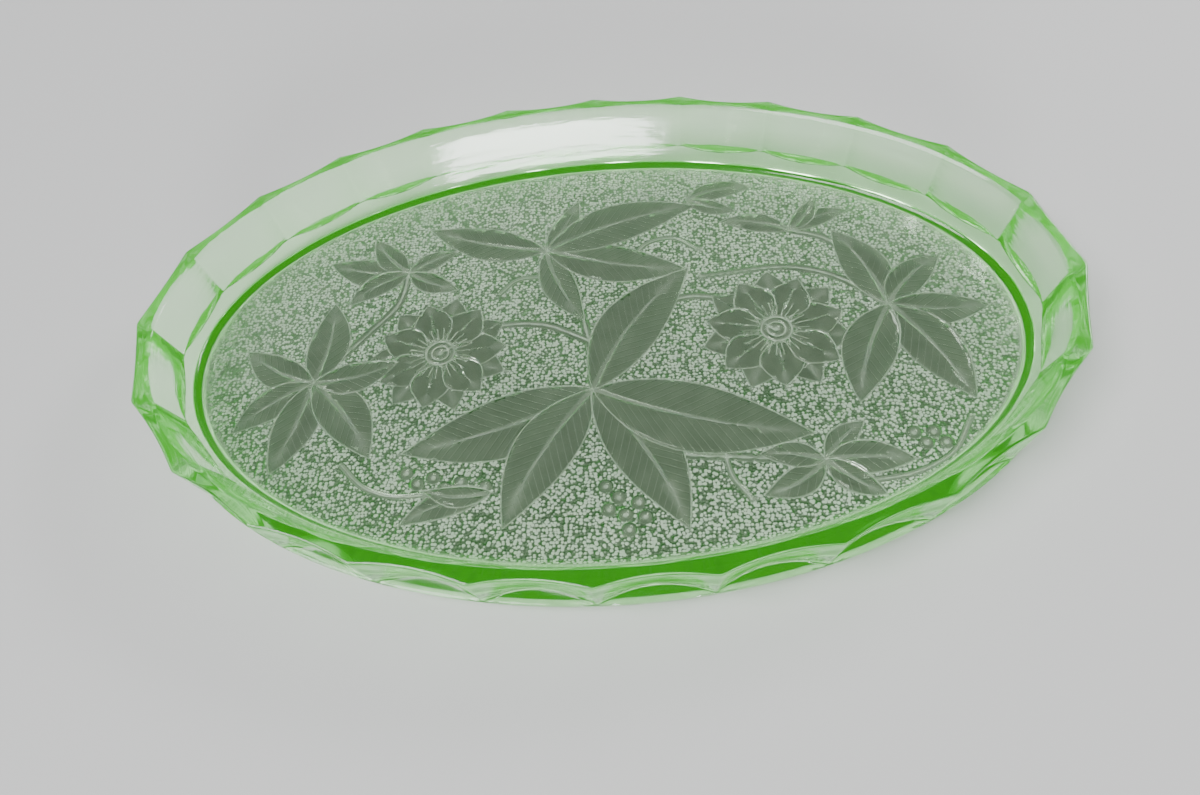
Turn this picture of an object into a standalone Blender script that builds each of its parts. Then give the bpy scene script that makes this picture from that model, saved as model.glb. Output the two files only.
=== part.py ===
"""Oval pressed-glass dish with 24 hollow flutes round its wall, made as one casting.

Metres, +Z up. The origin is the middle of the foot, on the surface that the dish stands on, and +X
is the long axis. The solid is a loft: closed oval loops run from the middle of the underside, out
over the foot, up the fluted wall, over the rim and down the smooth inside to the middle of the
floor. Every loop has the same number of points, spread evenly along its own length, so that a
column of points stays on one side of a flute all the way up.
"""

import math

import bmesh
import bpy
from mathutils import Vector

# Overall size, measured over the points of the rim.
LENGTH = 0.3100
WIDTH = 0.2014
HEIGHT = 0.0265

# Foot and underside.
FOOT_BAND_INSET = 0.0030  # the top edge of the smooth foot band, in from the points of the rim
FOOT_BAND_HEIGHT = 0.0062
FOOT_BAND_LEAN = 0.0018  # how far the band draws in on its way down
FOOT_EDGE_ROUND = 0.0009
FOOT_RING_WIDTH = 0.0080  # the flat ring that touches the table
UNDERSIDE_RECESS = 0.0012
UNDERSIDE_STEP = 0.0010  # the slope between the flat ring and the recess

# Flutes: hollow scoops in the outside of the wall, which meet in ridges.
FLUTES = 24
COLUMNS_PER_FLUTE = 6
FLUTE_DEPTH_AT_RIM = 0.0025
FLUTE_DEPTH_AT_FOOT = 0.0050
FLUTE_BOTTOM_ROUND = 0.0006
FLUTE_STEPS = 3  # loops up the fluted wall

# Rim.
RIM_WIDTH = 0.0054  # flat top, from a point of the rim in to the lip
RIM_EDGE_ROUND = 0.0004
LIP_WIDTH = 0.0012
LIP_DROP = 0.0009

# Well: the smooth inside.
FLOOR_THICKNESS = 0.0050
WALL_RUN_AT_SIDES = 0.0154  # from a point of the rim in to the foot of the inside wall
WALL_RUN_AT_ENDS = 0.0123
CORNER_RADIUS = 0.0022
CORNER_STEPS = 3

SAMPLES = 1440  # points that measure the length of an oval
FLOOR_RING_SHARE = 0.5  # a loop halfway to the middle keeps the flat faces well shaped


def evenly_spaced(half_length, half_width, count):
    """Points at equal steps along an ellipse, counter-clockwise from +X."""
    angles = [2 * math.pi * i / SAMPLES for i in range(SAMPLES + 1)]
    fine = [Vector((half_length * math.cos(a), half_width * math.sin(a))) for a in angles]
    lengths = [0.0]
    for before, after in zip(fine, fine[1:]):
        lengths.append(lengths[-1] + (after - before).length)
    points, i = [], 0
    for step in range(count):
        wanted = lengths[-1] * step / count
        while lengths[i + 1] < wanted:
            i += 1
        share = (wanted - lengths[i]) / (lengths[i + 1] - lengths[i])
        points.append(fine[i].lerp(fine[i + 1], share))
    return points


def scooped(points, depth):
    """The points moved inwards in 24 hollows of this depth. The first point is on a ridge."""
    moved = []
    for i, point in enumerate(points):
        along = points[(i + 1) % len(points)] - points[i - 1]
        inwards = Vector((-along.y, along.x)).normalized()
        across_flute = (i % COLUMNS_PER_FLUTE) / COLUMNS_PER_FLUTE
        hollow = 1 - (2 * across_flute - 1) ** 2
        moved.append(point + inwards * depth * hollow)
    return moved


def loop(side_inset, end_inset, height, flute_depth=0.0):
    """One closed loop of points, this far in from the points of the rim."""
    ring = evenly_spaced(
        LENGTH / 2 - end_inset, WIDTH / 2 - side_inset, FLUTES * COLUMNS_PER_FLUTE
    )
    if flute_depth:
        ring = scooped(ring, flute_depth)
    return [Vector((point.x, point.y, height)) for point in ring]


def shrunk(ring, share):
    """The loop drawn towards the middle, at the same height."""
    return [Vector((point.x * share, point.y * share, point.z)) for point in ring]


def underside_loops():
    foot_outer = FOOT_BAND_INSET + FOOT_BAND_LEAN + FOOT_EDGE_ROUND
    foot_inner = foot_outer + FOOT_RING_WIDTH
    recess = foot_inner + UNDERSIDE_STEP
    recess_edge = loop(recess, recess, UNDERSIDE_RECESS)
    return [
        shrunk(recess_edge, FLOOR_RING_SHARE),
        recess_edge,
        loop(foot_inner, foot_inner, 0.0),
        loop(foot_outer, foot_outer, 0.0),
    ]


def foot_band_loops():
    low = FOOT_BAND_INSET + FOOT_BAND_LEAN
    return [
        loop(low, low, FOOT_EDGE_ROUND),
        loop(FOOT_BAND_INSET, FOOT_BAND_INSET, FOOT_BAND_HEIGHT),
    ]


def fluted_wall_loops():
    """From the ledge on the foot band, where the flutes are deepest, up to the rim."""
    bottom = FOOT_BAND_HEIGHT + FLUTE_BOTTOM_ROUND
    top = HEIGHT - RIM_EDGE_ROUND
    ridge_at_bottom = FOOT_BAND_INSET + FLUTE_BOTTOM_ROUND / 2
    rings = []
    for step in range(FLUTE_STEPS + 1):
        up = step / FLUTE_STEPS
        ridge = ridge_at_bottom * (1 - up)
        depth = FLUTE_DEPTH_AT_FOOT + (FLUTE_DEPTH_AT_RIM - FLUTE_DEPTH_AT_FOOT) * up
        rings.append(loop(ridge, ridge, bottom + (top - bottom) * up, depth))
    return rings


def rim_loops():
    lip = RIM_WIDTH + LIP_WIDTH
    return [
        loop(RIM_EDGE_ROUND, RIM_EDGE_ROUND, HEIGHT, FLUTE_DEPTH_AT_RIM),
        loop(RIM_WIDTH, RIM_WIDTH, HEIGHT),
        loop(lip, lip, HEIGHT - LIP_DROP),
    ]


def corner_loops(wall_run):
    """(inset, height) of the points of the round corner between the inside wall and the floor."""
    lip = Vector((RIM_WIDTH + LIP_WIDTH, HEIGHT - LIP_DROP))
    corner = Vector((wall_run, FLOOR_THICKNESS))
    up_wall = (lip - corner).normalized()
    along_floor = Vector((1.0, 0.0))
    half_angle = up_wall.angle(along_floor) / 2
    to_centre = (up_wall + along_floor).normalized()
    centre = corner + to_centre * CORNER_RADIUS / math.sin(half_angle)
    reach = CORNER_RADIUS / math.tan(half_angle)
    start = corner + up_wall * reach - centre
    turn = math.pi - 2 * half_angle
    points = []
    for step in range(CORNER_STEPS + 1):
        angle = turn * step / CORNER_STEPS
        sine, cosine = math.sin(angle), math.cos(angle)
        spoke = Vector((start.x * cosine - start.y * sine, start.x * sine + start.y * cosine))
        points.append(centre + spoke)
    return points


def well_loops():
    """Down the inside wall, round the corner and in across the floor."""
    sides = corner_loops(WALL_RUN_AT_SIDES)
    ends = corner_loops(WALL_RUN_AT_ENDS)
    rings = []
    for side, end in zip(sides, ends):
        rings.append(loop(side.x, end.x, (side.y + end.y) / 2))
    rings[-1] = loop(sides[-1].x, ends[-1].x, FLOOR_THICKNESS)
    rings.append(shrunk(rings[-1], FLOOR_RING_SHARE))
    return rings


def wall_between(mesh, lower, upper):
    """Quads from each column of one loop to the same column of the next."""
    for i in range(len(lower)):
        mesh.faces.new((lower[i - 1], lower[i], upper[i], upper[i - 1]))


def fan(mesh, ring, height):
    """Triangles from the loop to a point on the middle line."""
    middle = mesh.verts.new((0.0, 0.0, height))
    for i in range(len(ring)):
        mesh.faces.new((ring[i - 1], ring[i], middle))


def glass():
    """Clear green glass."""
    material = bpy.data.materials.new("green_glass")
    material.use_nodes = True
    shader = material.node_tree.nodes["Principled BSDF"]
    shader.inputs["Base Color"].default_value = (0.36, 0.80, 0.30, 1.0)
    shader.inputs["Roughness"].default_value = 0.06
    shader.inputs["Metallic"].default_value = 0.0
    shader.inputs["Transmission Weight"].default_value = 0.7
    shader.inputs["IOR"].default_value = 1.52
    return material


def dish():
    rings = [
        *underside_loops(),
        *foot_band_loops(),
        *fluted_wall_loops(),
        *rim_loops(),
        *well_loops(),
    ]
    mesh = bmesh.new()
    loops = [[mesh.verts.new(point) for point in ring] for ring in rings]
    for lower, upper in zip(loops, loops[1:]):
        wall_between(mesh, lower, upper)
    fan(mesh, loops[0], UNDERSIDE_RECESS)
    fan(mesh, loops[-1], FLOOR_THICKNESS)
    bmesh.ops.recalc_face_normals(mesh, faces=mesh.faces)
    data = bpy.data.meshes.new("dish")
    mesh.to_mesh(data)
    mesh.free()
    data.shade_smooth()
    data.set_sharp_from_angle(angle=math.radians(25))
    data.materials.append(glass())
    body = bpy.data.objects.new("dish", data)
    bpy.context.scene.collection.objects.link(body)


for old in list(bpy.data.objects):
    bpy.data.objects.remove(old)
dish()
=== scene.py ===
import math

import bmesh
import bpy
import numpy as np
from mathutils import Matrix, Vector
from mathutils.geometry import delaunay_2d_cdt


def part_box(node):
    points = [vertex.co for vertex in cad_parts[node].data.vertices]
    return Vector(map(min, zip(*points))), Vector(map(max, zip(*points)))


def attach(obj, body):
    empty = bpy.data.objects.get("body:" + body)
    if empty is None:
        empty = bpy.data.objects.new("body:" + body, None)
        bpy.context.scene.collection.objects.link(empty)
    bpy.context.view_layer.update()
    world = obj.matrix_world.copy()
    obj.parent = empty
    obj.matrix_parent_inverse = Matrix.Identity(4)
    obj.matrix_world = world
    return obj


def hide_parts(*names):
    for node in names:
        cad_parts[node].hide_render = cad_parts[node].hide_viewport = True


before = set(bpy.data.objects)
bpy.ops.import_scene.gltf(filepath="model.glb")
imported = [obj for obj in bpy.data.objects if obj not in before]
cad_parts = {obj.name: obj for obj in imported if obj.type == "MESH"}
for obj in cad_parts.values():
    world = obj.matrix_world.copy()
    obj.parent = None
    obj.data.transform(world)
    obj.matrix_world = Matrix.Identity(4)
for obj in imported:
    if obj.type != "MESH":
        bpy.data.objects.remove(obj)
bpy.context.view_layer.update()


# The glass body: an oval dish pressed in one piece in an iron mould, so the foot band, the 24
# hollow flutes, the flat rim and the smooth well are all the same casting. It is made here from
# one oval loop of edges, extruded from the foot up the outside, over the rim and down the inside.
_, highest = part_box("dish")
RIM_HALF_LENGTH = highest.x
RIM_HALF_WIDTH = highest.y
RIM_TOP = highest.z

FLUTES = 24
FLUTE_DEPTH_AT_FOOT = 0.00505
FLUTE_DEPTH_AT_RIM = 0.0025
# Where the columns of points stand across one flute: close together at the ridges.
ACROSS_FLUTE = (0.0, 0.012, 0.03, 0.065, 0.12, 0.2, 0.29, 0.39)
ACROSS_FLUTE += tuple(1 - share for share in (0.5, *ACROSS_FLUTE[:0:-1]))
RIDGE_ROUND = 0.06
COLUMNS = FLUTES * len(ACROSS_FLUTE)


def oval(half_length, half_width):
    """One point for each column on an oval, at its own share of the way round."""
    angles = np.linspace(0, 2 * math.pi, 4097)
    x, y = half_length * np.cos(angles), half_width * np.sin(angles)
    walked = np.concatenate([[0], np.cumsum(np.hypot(np.diff(x), np.diff(y)))])
    shares = (np.arange(FLUTES)[:, None] + np.array(ACROSS_FLUTE)) / FLUTES
    angle = np.interp(shares.ravel() * walked[-1], walked, angles)
    outwards = np.stack([half_width * np.cos(angle), half_length * np.sin(angle)], 1)
    outwards /= np.linalg.norm(outwards, axis=1)[:, None]
    return np.stack([half_length * np.cos(angle), half_width * np.sin(angle)], 1), outwards


def hollow(depth):
    """How far each column is scooped in, for flutes of this depth. The ridges are rounded."""
    from_ridge = 1 - np.abs(2 * np.array(ACROSS_FLUTE) - 1)
    scoop = from_ridge * (2 - from_ridge)
    scoop = np.sqrt(scoop**2 + RIDGE_ROUND**2) - RIDGE_ROUND
    return np.tile(scoop * depth, FLUTES)


def lay_loop(side_inset, end_inset, height, flute_depth=0.0):
    """Lays the selected loop on its oval, this far in from the points of the rim."""
    points, outwards = oval(RIM_HALF_LENGTH - end_inset, RIM_HALF_WIDTH - side_inset)
    points = points - outwards * hollow(flute_depth)[:, None]
    shape = bmesh.from_edit_mesh(bpy.context.object.data)
    column = shape.verts.layers.int["column"]
    for point in shape.verts:
        if point.select:
            x, y = points[point[column]]
            point.co = (x, y, height)
    bmesh.update_edit_mesh(bpy.context.object.data)


def next_loop(side_inset, end_inset, height, flute_depth=0.0):
    bpy.ops.mesh.extrude_region_move()
    lay_loop(side_inset, end_inset, height, flute_depth)


bpy.ops.object.select_all(action="DESELECT")
bpy.ops.mesh.primitive_circle_add(vertices=COLUMNS, radius=RIM_HALF_LENGTH)
pressed_glass = bpy.context.object
pressed_glass.name = pressed_glass.data.name = "pressed_glass"
bpy.ops.object.mode_set(mode="EDIT")
shape = bmesh.from_edit_mesh(pressed_glass.data)
column = shape.verts.layers.int.new("column")
for point in shape.verts:
    turn = math.atan2(point.co.y, point.co.x) / (2 * math.pi)
    point[column] = round(turn * COLUMNS) % COLUMNS
bmesh.update_edit_mesh(pressed_glass.data)
bpy.ops.mesh.select_all(action="SELECT")

# Underside: the edge of the shallow recess, then the flat ring that the dish stands on.
RECESS_INSET = 0.0147
RECESS_HEIGHT = 0.0012
lay_loop(RECESS_INSET, RECESS_INSET, RECESS_HEIGHT)
for inset, height in (
    (0.0143, 0.00105),
    (0.0140, 0.00062),
    (0.0137, 0.00018),
    (0.0133, 0.00002),
    (0.0126, 0.0),
    (0.0066, 0.0),
    (0.0058, 0.00004),
    (0.0052, 0.00022),
    (0.00485, 0.0006),
    (0.0047, 0.0011),
):
    next_loop(inset, inset, height)

# Foot band: smooth and slightly leaning, with a ledge at its top where each flute is scooped in.
BAND_INSET = 0.0031
FLUTE_BOTTOM = 0.0075
for inset, height, flute_depth in (
    (0.0039, 0.0037, 0.0),
    (0.00315, 0.0059, 0.0),
    (0.00305, 0.0062, 0.0),
    (0.0031, 0.00642, 0.0003),
    (0.0032, 0.00655, 0.0012),
    (0.0032, 0.00662, 0.0027),
    (0.0032, 0.0067, 0.0041),
    (0.00315, 0.00695, 0.0048),
    (BAND_INSET, FLUTE_BOTTOM, FLUTE_DEPTH_AT_FOOT),
):
    next_loop(inset, inset, height, flute_depth)

# Fluted wall: it leans out, and the flutes run out to half their depth at the rim.
FLUTE_TOP = 0.0256
for up in (0.1, 0.25, 0.4, 0.55, 0.7, 0.85, 1.0):
    inset = BAND_INSET * (1 - up)
    height = FLUTE_BOTTOM + (FLUTE_TOP - FLUTE_BOTTOM) * up
    flute_depth = FLUTE_DEPTH_AT_FOOT + (FLUTE_DEPTH_AT_RIM - FLUTE_DEPTH_AT_FOOT) * up
    next_loop(inset, inset, height, flute_depth)

# Rim: flat on top, scalloped outside by the flutes, with a small rounded step down inside.
LIP_INSET = 0.00665
LIP_FOOT = 0.0252
for inset, drop, flute_depth in (
    (0.00002, 0.0005, FLUTE_DEPTH_AT_RIM),
    (0.00016, 0.0002, FLUTE_DEPTH_AT_RIM),
    (0.00042, 0.00005, FLUTE_DEPTH_AT_RIM),
    (0.0008, 0.0, FLUTE_DEPTH_AT_RIM),
    (0.0047, 0.0, 0.0),
    (0.0052, 0.00004, 0.0),
    (0.00555, 0.0002, 0.0),
    (0.0059, 0.00055, 0.0),
    (0.0063, 0.00085, 0.0),
    (LIP_INSET, 0.0013, 0.0),
):
    next_loop(inset, inset, RIM_TOP - drop, flute_depth)

# Well: a smooth leaning wall, a round corner and a flat floor.
FLOOR_TOP = 0.005
WALL_FOOT_SIDES = 0.0154
WALL_FOOT_ENDS = 0.0123
CORNER = 0.0022
CORNER_START = 0.0005
CORNER_LEAN = 0.0008
for down in (0.2, 0.4, 0.6, 0.75, 0.87):
    next_loop(
        LIP_INSET + (WALL_FOOT_SIDES - LIP_INSET) * down,
        LIP_INSET + (WALL_FOOT_ENDS - LIP_INSET) * down,
        LIP_FOOT + (FLOOR_TOP - LIP_FOOT) * down,
    )
for across, up in ((0.0, 0.75), (0.12, 0.42), (0.32, 0.19), (0.6, 0.05), (1.0, 0.0)):
    slope = CORNER_LEAN * (1 - up)
    next_loop(
        WALL_FOOT_SIDES - CORNER_START + slope + CORNER * across,
        WALL_FOOT_ENDS - CORNER_START + slope + CORNER * across,
        FLOOR_TOP + CORNER * up,
    )
next_loop(WALL_FOOT_SIDES + 0.004, WALL_FOOT_ENDS + 0.004, FLOOR_TOP)
bpy.ops.mesh.extrude_region_move()
bpy.ops.mesh.merge(type="CENTER")
bpy.ops.object.mode_set(mode="OBJECT")
floor_here = [abs(point.co.z - FLOOR_TOP) < 1e-5 for point in pressed_glass.data.vertices]
layer = pressed_glass.data.attributes.new("floor", "FLOAT", "POINT")
layer.data.foreach_set("value", np.array(floor_here, np.float32))
# The inner edge of the foot ring is marked as a line, and is painted pale like the relief's lines:
# a painted highlight.
ring_inset = [
    RIM_HALF_LENGTH - math.hypot(point.co.x, point.co.y * RIM_HALF_LENGTH / RIM_HALF_WIDTH)
    for point in pressed_glass.data.vertices
]
step_here = [
    point.co.z < 0.0013 and inset > 0.0128
    for point, inset in zip(pressed_glass.data.vertices, ring_inset)
]
layer = pressed_glass.data.attributes.new("line", "FLOAT", "POINT")
layer.data.foreach_set("value", np.array(step_here, np.float32))


# The pressed relief under the floor: sprays of long pointed leaves, two open flowers, stems and
# berries, cut into the mould as lines and sunk panels. They show through the smooth floor.
# It is a sheet of triangles laid close together along every line, which closes the body below.
LINE_HALF = 0.00042
LINE_RISE = 0.00042
PANEL_SINK = 0.00022
PANEL_CROWN = 0.00012
RIB_RISE = 0.0004
RIB_HALF_AT_TIP = 0.00035
RIB_TAPER = 0.0009
VEIN_GAP = 0.0034
VEIN_SLANT = 1.1


class Blade:
    """A pointed leaf or petal from a base to a tip, which may bow to one side."""

    def __init__(self, base, angle, length, width, bow=0.0, belly=0.45, veins=1.0):
        self.base = np.array(base)
        self.angle = math.radians(angle)
        self.length, self.half, self.bow = length, width / 2, bow
        self.belly, self.veins = belly, veins

    def middle(self, t):
        return self.bow * 4 * t * (1 - t)

    def breadth(self, t):
        t = np.clip(t, 0, 1)
        power = math.log(0.5) / math.log(self.belly)
        return self.half * np.sin(math.pi * t**power) ** 0.92

    def place(self, t, across):
        x, y = t * self.length, self.middle(t) + across
        cosine, sine = math.cos(self.angle), math.sin(self.angle)
        return np.stack([x * cosine - y * sine, x * sine + y * cosine], -1) + self.base

    def local(self, points):
        moved = points - self.base
        cosine, sine = math.cos(self.angle), math.sin(self.angle)
        x = moved[:, 0] * cosine + moved[:, 1] * sine
        y = moved[:, 1] * cosine - moved[:, 0] * sine
        t = x / self.length
        across = y - self.middle(np.clip(t, 0, 1))
        inside = self.breadth(t) - np.abs(across)
        beyond = np.maximum(-x, x - self.length)
        inside = np.where(beyond > 0, -np.hypot(beyond, across), inside)
        return t, across, inside

    def guide_rows(self, gap):
        count = max(int(self.length / gap), 8)
        t = (1 - np.cos(np.linspace(0, math.pi, count))) / 2
        t = 0.35 * t + 0.65 * np.linspace(0, 1, count)
        rows = []
        for side in (-1, 1):
            for off in (0.0, -LINE_HALF, LINE_HALF):
                row = self.place(t, side * np.maximum(self.breadth(t) + off, 0))
                rows.append((row, off == 0))
        rib = self.rib(t)
        for share in (0.0, -0.6, 0.6, -1.0, 1.0) if self.veins else (0.0,):
            rows.append((self.place(t, share * rib), abs(share) == 1))
        return rows

    def rib(self, t):
        return self.veins * np.clip(RIB_TAPER * (1 - t) + RIB_HALF_AT_TIP, 0, self.half * 0.3)

    def press(self, points, rise, panel_here, line_here, vein):
        t, across, inside = self.local(points)
        near = inside > -LINE_HALF
        crest = np.clip(1 - np.abs(inside) / LINE_HALF, 0, 1)
        inner = inside > 0
        crown = PANEL_CROWN * np.clip(inside / self.half, 0, 1)
        panel = PANEL_SINK * np.clip(inside / LINE_HALF - 1, 0, 1) + crown
        rib = self.rib(t)
        from_rib = np.abs(across) / np.maximum(rib, 1e-5)
        arch = np.sqrt(np.clip(1 - from_rib**2, 0, 1)) * np.clip(6 * (1 - t), 0, 1)
        panel = panel - arch * RIB_RISE
        rise[inner] = panel[inner]
        panel_here[inner] = 1.0
        line_here[inner] = arch[inner] * 0.5
        line_here[near] = np.maximum(line_here[near], crest[near])
        slant = t * self.length - np.abs(across) * VEIN_SLANT
        vein[inner] = (slant / VEIN_GAP)[inner] * self.veins
        rise[near] = rise[near] * (1 - crest[near]) - LINE_RISE * crest[near]


class Cord:
    """A raised half-round line along a smooth path through a few points."""

    def __init__(self, path, half=0.0007, rise=0.0004):
        path = np.array(path, float)
        steps = np.linspace(0, len(path) - 1, 24 * (len(path) - 1) + 1)
        ends = np.concatenate([[2 * path[0] - path[1]], path, [2 * path[-1] - path[-2]]])
        points = []
        for step in steps:
            i = min(int(step), len(path) - 2)
            u = step - i
            a, b, c, d = ends[i : i + 4]
            points.append(
                0.5
                * (
                    2 * b
                    + (c - a) * u
                    + (2 * a - 5 * b + 4 * c - d) * u**2
                    + (3 * b - a - 3 * c + d) * u**3
                )
            )
        self.line = np.array(points)
        self.half, self.rise = half, rise

    def guide_rows(self, gap):
        steps = np.hypot(*np.diff(self.line, axis=0).T)
        walked = np.concatenate([[0], np.cumsum(steps)])
        at = np.linspace(0, walked[-1], max(int(walked[-1] / gap), 6))
        centre = np.stack([np.interp(at, walked, self.line[:, k]) for k in (0, 1)], 1)
        along = np.gradient(centre, axis=0)
        along /= np.linalg.norm(along, axis=1)[:, None] + 1e-12
        side = np.stack([-along[:, 1], along[:, 0]], 1)
        rows = []
        for share in (0.0, -0.65, 0.65, -1.0, 1.0, -1.9, 1.9, -2.5, 2.5):
            rows.append((centre + side * self.half * share, abs(share) in (0.0, 1.0)))
        return rows

    def press(self, points, rise, panel_here, line_here, vein):
        low, high = self.line.min(0) - 0.003, self.line.max(0) + 0.003
        near = np.where(((points > low) & (points < high)).all(1))[0]
        if not len(near):
            return
        gaps = np.full(len(near), 1.0)
        for block in np.array_split(self.line, max(len(self.line) // 60, 1)):
            away = points[near][:, None] - block[None]
            gaps = np.minimum(gaps, np.hypot(away[..., 0], away[..., 1]).min(1))
        arch = np.sqrt(np.clip(1 - (gaps / self.half) ** 2, 0, 1))
        on = arch > 0
        rise[near[on]] = np.minimum(rise[near[on]], -self.rise * arch[on])
        line_here[near[on]] = np.maximum(line_here[near[on]], arch[on])
        panel_here[near[gaps < self.half * 2.0]] = 1.0


class Pearl:
    """A small round dome."""

    def __init__(self, x, y, radius=0.0012, rise=0.0005):
        self.centre, self.radius, self.rise = np.array([x, y]), radius, rise

    def guide_rows(self, gap):
        rows = [(self.centre[None], False)]
        for share, count in ((0.5, 7), (0.9, 12), (1.3, 14), (1.75, 16), (2.2, 18)):
            turn = np.linspace(0, 2 * math.pi, count, endpoint=False) + share
            ring = np.stack([np.cos(turn), np.sin(turn)], 1) * self.radius * share
            rows.append((self.centre + ring, False))
        return rows

    def press(self, points, rise, panel_here, line_here, vein):
        gap = np.hypot(*(points - self.centre).T) / self.radius
        dome = np.sqrt(np.clip(1 - gap**2, 0, 1))
        on = gap < 1
        rise[on] = -self.rise * dome[on]
        line_here[on] = np.maximum(line_here[on], dome[on])
        panel_here[gap < 1.9] = 1.0


def spray(x, y, blades, breadth):
    """Leaves that spread from one point: (angle, length in mm, bow in mm) for each."""
    made = []
    for angle, length, bow in blades:
        width = length * breadth / 1000
        made.append(
            Blade((x / 1000, y / 1000), angle, length / 1000, width, bow / 1000)
        )
    return made


def flower(x, y, reach, turn):
    """An open flower: two whorls of pointed petals round a fringed ring and a boss."""
    made = []
    for whorl, scale in ((0.5, 1.0), (0.0, 0.9)):
        for petal in range(7):
            angle = turn + (petal + whorl) * 360 / 7
            start = np.array([math.cos(math.radians(angle)), math.sin(math.radians(angle))])
            base = np.array([x, y]) / 1000 + start * reach * 0.2 / 1000
            made.append(
                Blade(base, angle, reach * scale * 0.8 / 1000, reach * 0.56 / 1000, veins=0.0)
            )
    middle = np.array([x, y]) / 1000
    for spoke in range(26):
        angle = math.radians(turn + spoke * 360 / 26)
        way = np.array([math.cos(angle), math.sin(angle)])
        ends = [middle + way * reach * share / 1000 for share in (0.24, 0.34, 0.43)]
        made.append(Cord(ends, 0.00032, 0.0003))
    for ring in (0.2, 0.12):
        turns = np.linspace(0, 2 * math.pi, 13)
        path = middle + np.stack([np.cos(turns), np.sin(turns)], 1) * reach * ring / 1000
        made.append(Cord(path, 0.0005, 0.0004))
    made.append(Pearl(*middle, 0.0014))
    return made


def stem(*points, half=0.0007):
    return [Cord(np.array(points) / 1000, half)]


def berries(*points):
    return [Pearl(x / 1000, y / 1000) for x, y in points]


# The layout, in millimetres from the middle of the floor. Its later entries lie over earlier ones.
motifs = [
    *stem((-20, 44), (-10, 24), (-4, 2), (-2, -21)),
    *stem((-20, 44), (-42, 50), (-60, 44), (-72, 37)),
    *stem((-56, -2), (-38, 8), (-20, 8), (-4, 0)),
    *stem((60, 0), (44, 14), (28, 16), (8, 2), (-2, -20)),
    *stem((100, 8), (84, 22), (66, 28), (38, 26)),
    *stem((-100, -12), (-84, 8), (-74, 22), (-72, 37)),
    *stem((70, -52), (46, -50), (22, -46), (2, -30)),
    *stem((71, 46), (84, 40), (92, 26), (100, 8)),
    *stem((-36, 24), (-30, 30), (-20, 30), (-13, 24), (-14, 17), half=0.0005),
    *stem((36, 40), (28, 46), (18, 44), (12, 36), half=0.0005),
    *stem((116, -40), (108, -52), (96, -58), (84, -60), half=0.0005),
    *stem((-84, -46), (-76, -54), (-66, -58), (-54, -58), half=0.0005),
    *stem((44, -36), (40, -46), (41, -56), (46, -64), half=0.0005),
    *berries((-62, -50), (-58, -54), (-53, -52), (-49, -56), (-44, -54), (-40, -58), (-36, -56)),
    *berries((2, -58), (6, -62), (3, -66), (8, -68), (12, -64), (14, -69), (9, -73)),
    *berries((98, -44), (101, -48), (104, -44), (107, -48)),
    *spray(71, 46, ((20, 24, 2), (55, 20, -1), (165, 26, -2)), 0.36),
    *spray(-72, 37, ((167, 32, 2), (130, 24, 1), (27, 20, 1), (-27, 22, -1), (-146, 25, -2)), 0.42),
    *spray(70, -52, ((44, 19, 1), (-3, 27, 1), (-39, 21, -1), (-150, 23, 2), (172, 20, -1)), 0.44),
    *spray(-34, -58, ((200, 30, -2), (176, 22, 2)), 0.34),
    *spray(34, 66, ((10, 26, 2), (-24, 20, -1)), 0.36),
    *flower(-56, -2, 25, 4),
    *flower(61, 0, 26, 14),
    *spray(
        -100,
        -12,
        ((87, 36, -2), (150, 31, 2), (-142, 31, -2), (-103, 37, 1), (-52, 40, 2), (14, 30, -2)),
        0.42,
    ),
    *spray(
        100,
        8,
        ((111, 39, -2), (44, 30, 2), (-5, 33, -2), (-64, 45, 2), (-112, 43, -2)),
        0.42,
    ),
    *spray(
        -20,
        44,
        ((162, 48, 2), (64, 28, -1), (-67, 38, -2), (-15, 54, -2), (18, 60, 3)),
        0.33,
    ),
    *spray(
        -2,
        -21,
        ((-161, 66, 3), (-119, 57, -3), (-61, 60, 3), (-17, 73, -3), (56, 62, 4)),
        0.36,
    ),
]

# Spacing of the points: along a line, over the open floor, and the least between any two.
GAP = 0.00085
FILL = 0.0021
SNAP = 0.00024
CELL = 0.001
EDGE_CLEAR = 0.0006
STIPPLE_HALF_LENGTH = 0.1400
STIPPLE_HALF_WIDTH = 0.0850

recess, _ = oval(RIM_HALF_LENGTH - RECESS_INSET, RIM_HALF_WIDTH - RECESS_INSET)
grid_x = np.arange(-RIM_HALF_LENGTH, RIM_HALF_LENGTH, FILL)
grid_y = np.arange(-RIM_HALF_WIDTH, RIM_HALF_WIDTH, FILL * 0.87)
fill_x, fill_y = np.meshgrid(grid_x, grid_y)
fill_x[1::2] += FILL / 2
fill = np.stack([fill_x.ravel(), fill_y.ravel()], 1)

kept, taken, lines = [], {}, []
inner_length = RIM_HALF_LENGTH - RECESS_INSET - EDGE_CLEAR
inner_width = RIM_HALF_WIDTH - RECESS_INSET - EDGE_CLEAR


def keep(x, y, clear):
    """The number of this point, or of one already kept within this distance of it."""
    column, row = int(x // CELL), int(y // CELL)
    for i in (-1, 0, 1):
        for j in (-1, 0, 1):
            for number in taken.get((column + i, row + j), ()):
                u, v = kept[number]
                if (u - x) ** 2 + (v - y) ** 2 < clear**2:
                    return number
    taken.setdefault((column, row), []).append(len(kept))
    kept.append((x, y))
    return len(kept) - 1


for x, y in recess:
    keep(x, y, 0)
for motif in reversed(motifs):
    for row, is_line in motif.guide_rows(GAP):
        before = None
        for x, y in row:
            if (x / inner_length) ** 2 + (y / inner_width) ** 2 > 1:
                before = None
                continue
            number = keep(x, y, SNAP)
            if is_line and before is not None and before != number:
                lines.append((before, number))
            before = number
for x, y in fill:
    if (x / inner_length) ** 2 + (y / inner_width) ** 2 < 1:
        keep(x, y, FILL * 0.45)

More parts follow.
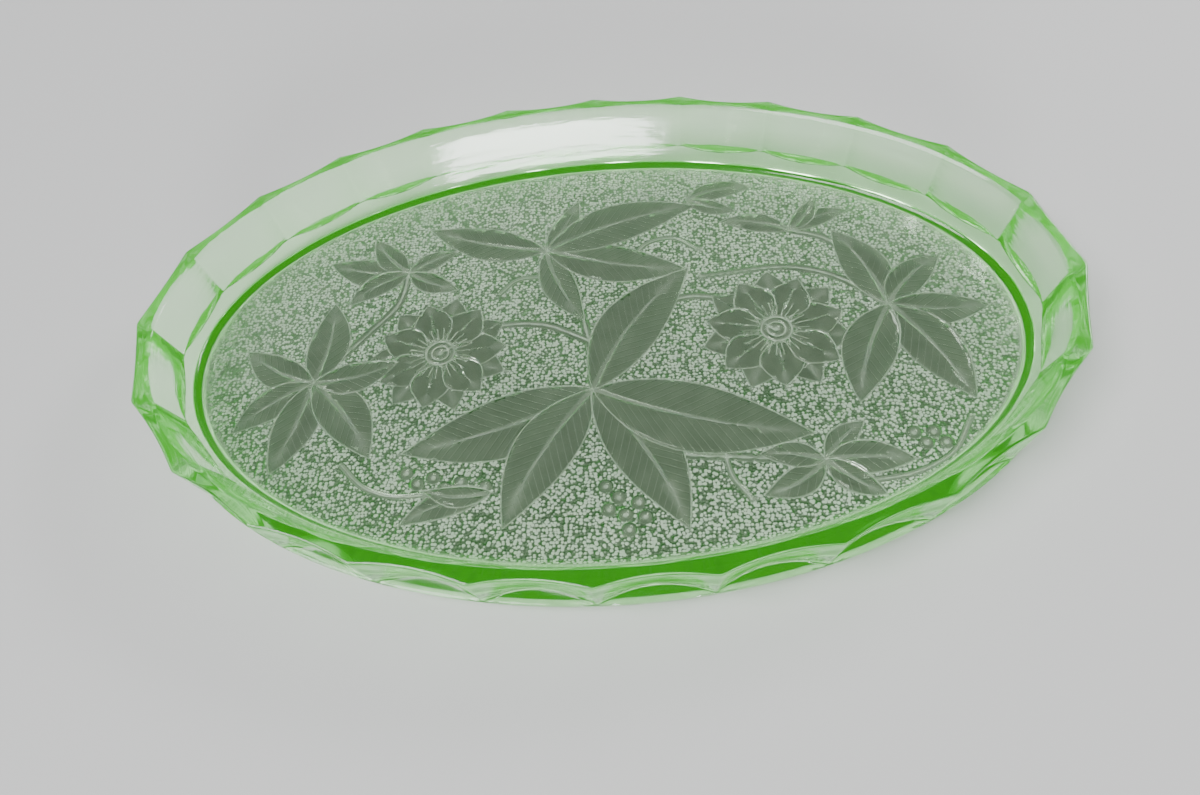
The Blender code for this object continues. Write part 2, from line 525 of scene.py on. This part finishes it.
sheet_points, _, sheet_faces, _, _, _ = delaunay_2d_cdt(
    [Vector(point) * 1000 for point in kept], lines, [], 0, 1e-6
)
flat = np.array(sheet_points) / 1000
rise = np.zeros(len(flat))
vein = np.zeros(len(flat))
panel_here = np.zeros(len(flat))
line_here = np.zeros(len(flat))
for motif in motifs:
    motif.press(flat, rise, panel_here, line_here, vein)
edge = np.hypot(flat[:, 0] / STIPPLE_HALF_LENGTH, flat[:, 1] / STIPPLE_HALF_WIDTH)
stipple = np.where(edge > 1, 0.0, 1 - np.maximum(panel_here, line_here > 0.3))
rise[np.hypot(flat[:, 0] / inner_length, flat[:, 1] / inner_width) > 1.0] = 0

relief = bpy.data.meshes.new("relief")
relief.from_pydata(
    [(x, y, RECESS_HEIGHT + z) for (x, y), z in zip(flat.tolist(), rise.tolist())],
    [],
    sheet_faces,
)
marks = {
    "floor": np.ones(len(flat)),
    "stipple": stipple,
    "panel": panel_here,
    "line": line_here,
    "vein": vein,
}
for name, values in marks.items():
    layer = relief.attributes.new(name, "FLOAT", "POINT")
    layer.data.foreach_set("value", values.astype(np.float32))
relief_sheet = bpy.data.objects.new("relief", relief)
bpy.context.scene.collection.objects.link(relief_sheet)

bpy.ops.object.select_all(action="DESELECT")
relief_sheet.select_set(True)
pressed_glass.select_set(True)
bpy.context.view_layer.objects.active = pressed_glass
bpy.ops.object.join()
bpy.ops.object.mode_set(mode="EDIT")
bpy.ops.mesh.select_all(action="SELECT")
bpy.ops.mesh.remove_doubles(threshold=1e-6)
bpy.ops.mesh.normals_make_consistent(inside=False)
bpy.ops.object.mode_set(mode="OBJECT")
bpy.ops.object.shade_smooth_by_angle(angle=math.radians(34))

green_glass = bpy.data.materials.new("green_glass")
green_glass.use_nodes = True
nodes, links = green_glass.node_tree.nodes, green_glass.node_tree.links
shader = nodes["Principled BSDF"]
shader.inputs["IOR"].default_value = 1.52
# Emission: partly the uranium glass's own glow, partly painted light.
shader.inputs["Emission Strength"].default_value = 0.12


def node(kind, **values):
    made = nodes.new(kind)
    for name, value in values.items():
        if hasattr(made, name):
            setattr(made, name, value)
        else:
            made.inputs[name.replace("_", " ").title()].default_value = value
    return made


def combined(kind, first, second):
    """Two sockets or numbers put together by one Math node."""
    made = nodes.new("ShaderNodeMath")
    made.operation = kind
    for socket, value in zip(made.inputs, (first, second)):
        if isinstance(value, (int, float)):
            socket.default_value = value
        else:
            links.new(value, socket)
    return made.outputs[0]


def mark(name):
    return node("ShaderNodeAttribute", attribute_name=name).outputs["Fac"]


def mixed(share, first, second):
    """A colour between two, each a socket or a plain colour."""
    made = nodes.new("ShaderNodeMix")
    made.data_type = "RGBA"
    links.new(share, made.inputs["Factor"])
    for socket, value in zip((made.inputs[6], made.inputs[7]), (first, second)):
        if isinstance(value, tuple):
            socket.default_value = (*value, 1)
        else:
            links.new(value, socket)
    return made.outputs[2]


place = nodes.new("ShaderNodeTexCoord").outputs["Object"]
stipple_here, panel_here, line_here = mark("stipple"), mark("panel"), mark("line")

# The stipple: round pimples close together, painted white on their tops as a painted highlight and
# dark in the valleys as painted shade.
pimples = node("ShaderNodeTexVoronoi", Scale=860.0, Randomness=0.75)
pimples.feature = "F1"
links.new(place, pimples.inputs["Vector"])
round_tops = combined("POWER", pimples.outputs["Distance"], 2.0)
domes = combined("MULTIPLY", combined("SUBTRACT", 1.0, round_tops), stipple_here)
valley_shade = nodes.new("ShaderNodeMapRange")
valley_shade.interpolation_type = "SMOOTHSTEP"
valley_shade.inputs["From Min"].default_value = 0.42
valley_shade.inputs["From Max"].default_value = 0.64
links.new(pimples.outputs["Distance"], valley_shade.inputs["Value"])

# Fine side veins across the leaves, and the faint ripple of glass chilled by the mould.
ribs = combined("SINE", combined("MULTIPLY", mark("vein"), 2 * math.pi), 0.0)
thread = nodes.new("ShaderNodeMapRange")
thread.interpolation_type = "SMOOTHSTEP"
thread.inputs["From Min"].default_value = 0.8
links.new(ribs, thread.inputs["Value"])
ribs = combined("MULTIPLY", combined("MULTIPLY", thread.outputs["Result"], 0.09), panel_here)
swirl = node("ShaderNodeTexNoise", Scale=90.0, Detail=2.0)
links.new(place, swirl.inputs["Vector"])
ripple = combined("MULTIPLY", swirl.outputs["Fac"], 0.12)
drag = node("ShaderNodeTexNoise", Scale=60.0, Detail=3.0)
drag_place = nodes.new("ShaderNodeMapping")
drag_place.inputs["Scale"].default_value = (1, 1, 9)
links.new(place, drag_place.inputs["Vector"])
links.new(drag_place.outputs["Vector"], drag.inputs["Vector"])
above_floor = combined("SUBTRACT", 1.0, mark("floor"))
drag_lines = combined("MULTIPLY", combined("MULTIPLY", drag.outputs["Fac"], 0.16), above_floor)
ripple = combined("ADD", ripple, drag_lines)
bump = node("ShaderNodeBump", Strength=1.0, Distance=0.0007)
links.new(combined("ADD", combined("ADD", domes, ribs), ripple), bump.inputs["Height"])
links.new(bump.outputs["Normal"], shader.inputs["Normal"])

# Uranium in the glass glows green in daylight; the glow set here is partly that and partly painted
# light, strong on the walls and rim, where the glass is thick, and weak on the floor.
uranium_and_painted_glow = mixed(mark("floor"), (0.11, 1.0, 0.02), (0.015, 0.1, 0.008))
links.new(uranium_and_painted_glow, shader.inputs["Emission Color"])

clear = (0.95, 1.0, 0.93)
# Painted highlight on the pimple tops and painted shade in the valleys between them.
painted_pimple_light = mixed(valley_shade.outputs["Result"], (0.98, 0.98, 0.98), (0.11, 0.13, 0.1))
ground = mixed(stipple_here, clear, painted_pimple_light)
mottle = node("ShaderNodeTexNoise", Scale=150.0, Detail=5.0)
links.new(place, mottle.inputs["Vector"])
# The leaves and petals are painted dark, a painted shade for the dark seen through their smooth
# glass, mottled at random; their side veins are painted lighter, a painted highlight.
panel = mixed(mottle.outputs["Fac"], (0.14, 0.155, 0.13), (0.34, 0.37, 0.31))
panel = mixed(thread.outputs["Result"], panel, (0.38, 0.41, 0.35))
ground = mixed(panel_here, ground, panel)
# The relief's lines, ribs and berries and the inner edge of the foot ring are painted whitish: a
# painted highlight.
colour = mixed(line_here, ground, (0.93, 0.98, 0.9))
links.new(colour, shader.inputs["Base Color"])
# The pimple tops and the relief's lines let less light through, so that their whitish painted
# highlight shows.
painted_glint_tops = combined("MULTIPLY", combined("SUBTRACT", 1.0, valley_shade.outputs["Result"]), stipple_here)
painted_highlight_share = combined("ADD", combined("MULTIPLY", painted_glint_tops, -0.85), combined("MULTIPLY", line_here, -0.5))
links.new(combined("ADD", painted_highlight_share, 1.0), shader.inputs["Transmission Weight"])

smudges = node("ShaderNodeTexNoise", Scale=38.0, Detail=6.0)
links.new(place, smudges.inputs["Vector"])
haze = combined("MULTIPLY", smudges.outputs["Fac"], 0.08)
links.new(
    combined("ADD", haze, combined("MULTIPLY", combined("ADD", stipple_here, above_floor), 0.06)),
    shader.inputs["Roughness"],
)

depths = nodes.new("ShaderNodeVolumeAbsorption")
depths.inputs["Color"].default_value = (0.2, 0.92, 0.08, 1)
depths.inputs["Density"].default_value = 12.0
links.new(depths.outputs["Volume"], nodes["Material Output"].inputs["Volume"])

pressed_glass.data.materials.clear()
pressed_glass.data.materials.append(green_glass)
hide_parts("dish")
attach(pressed_glass, "root")


# The table top: a plain pale surface under the dish.
bpy.ops.object.select_all(action="DESELECT")
bpy.ops.mesh.primitive_plane_add(size=16.0)
table = bpy.context.object
table.name = "table"
pale = bpy.data.materials.new("pale_table")
pale.use_nodes = True
pale.node_tree.nodes["Principled BSDF"].inputs["Base Color"].default_value = (0.6, 0.6, 0.595, 1)
pale.node_tree.nodes["Principled BSDF"].inputs["Roughness"].default_value = 0.75
table.data.materials.append(pale)


# Studio light: a wide soft light from above on the left and in front, a lamp low in front and a
# weaker one behind on the right. The surroundings are pale near the table and darker higher up.
def soft_lamp(name, place, target, size, power):
    lamp = bpy.data.lights.new(name, "AREA")
    lamp.shape = "ELLIPSE"
    lamp.size, lamp.size_y = size
    lamp.energy = power
    holder = bpy.data.objects.new(name, lamp)
    holder.location = place
    holder.rotation_euler = (Vector(target) - Vector(place)).to_track_quat("-Z", "Y").to_euler()
    bpy.context.scene.collection.objects.link(holder)


soft_lamp("front_lamp", (0.04, -1.35, 0.24), (0, 0, 0), (0.56, 0.36), 22)
soft_lamp("back_right_lamp", (1.1, 0.9, 0.78), (0, 0, 0), (0.7, 0.3), 9)
sky_light = bpy.data.lights.new("sky_light", "SUN")
sky_light.energy = 4.0
sky_light.angle = math.radians(36)
sky_holder = bpy.data.objects.new("sky_light", sky_light)
sky_holder.rotation_euler = Vector((-0.75, -0.45, 1.25)).to_track_quat("Z", "Y").to_euler()
bpy.context.scene.collection.objects.link(sky_holder)
studio = bpy.data.worlds.new("studio")
studio.use_nodes = True
studio.node_tree.nodes["Background"].inputs["Color"].default_value = (0.9, 0.94, 1.0, 1)
walls = studio.node_tree.nodes
height_above = walls.new("ShaderNodeSeparateXYZ")
fade = walls.new("ShaderNodeMapRange")
fade.inputs["From Min"].default_value = 0.02
fade.inputs["From Max"].default_value = 0.35
fade.inputs["To Min"].default_value = 0.62
fade.inputs["To Max"].default_value = 0.26
wire = studio.node_tree.links.new
wire(walls.new("ShaderNodeTexCoord").outputs["Generated"], height_above.inputs["Vector"])
wire(height_above.outputs["Z"], fade.inputs["Value"])
wire(fade.outputs["Result"], walls["Background"].inputs["Strength"])
bpy.context.scene.world = studio


# The camera stands in front of the dish, a little to the right, and looks down over its rim.
lens = bpy.data.cameras.new("camera")
lens.sensor_width = 36.0
lens.lens = 25.86
lens.clip_start = 0.01
camera = bpy.data.objects.new("camera", lens)
camera.location = (0.02205, -0.18604, 0.23721)
camera.rotation_euler = [math.radians(angle) for angle in (34.428, 5.373, -0.111)]
bpy.context.scene.collection.objects.link(camera)
bpy.context.scene.camera = camera
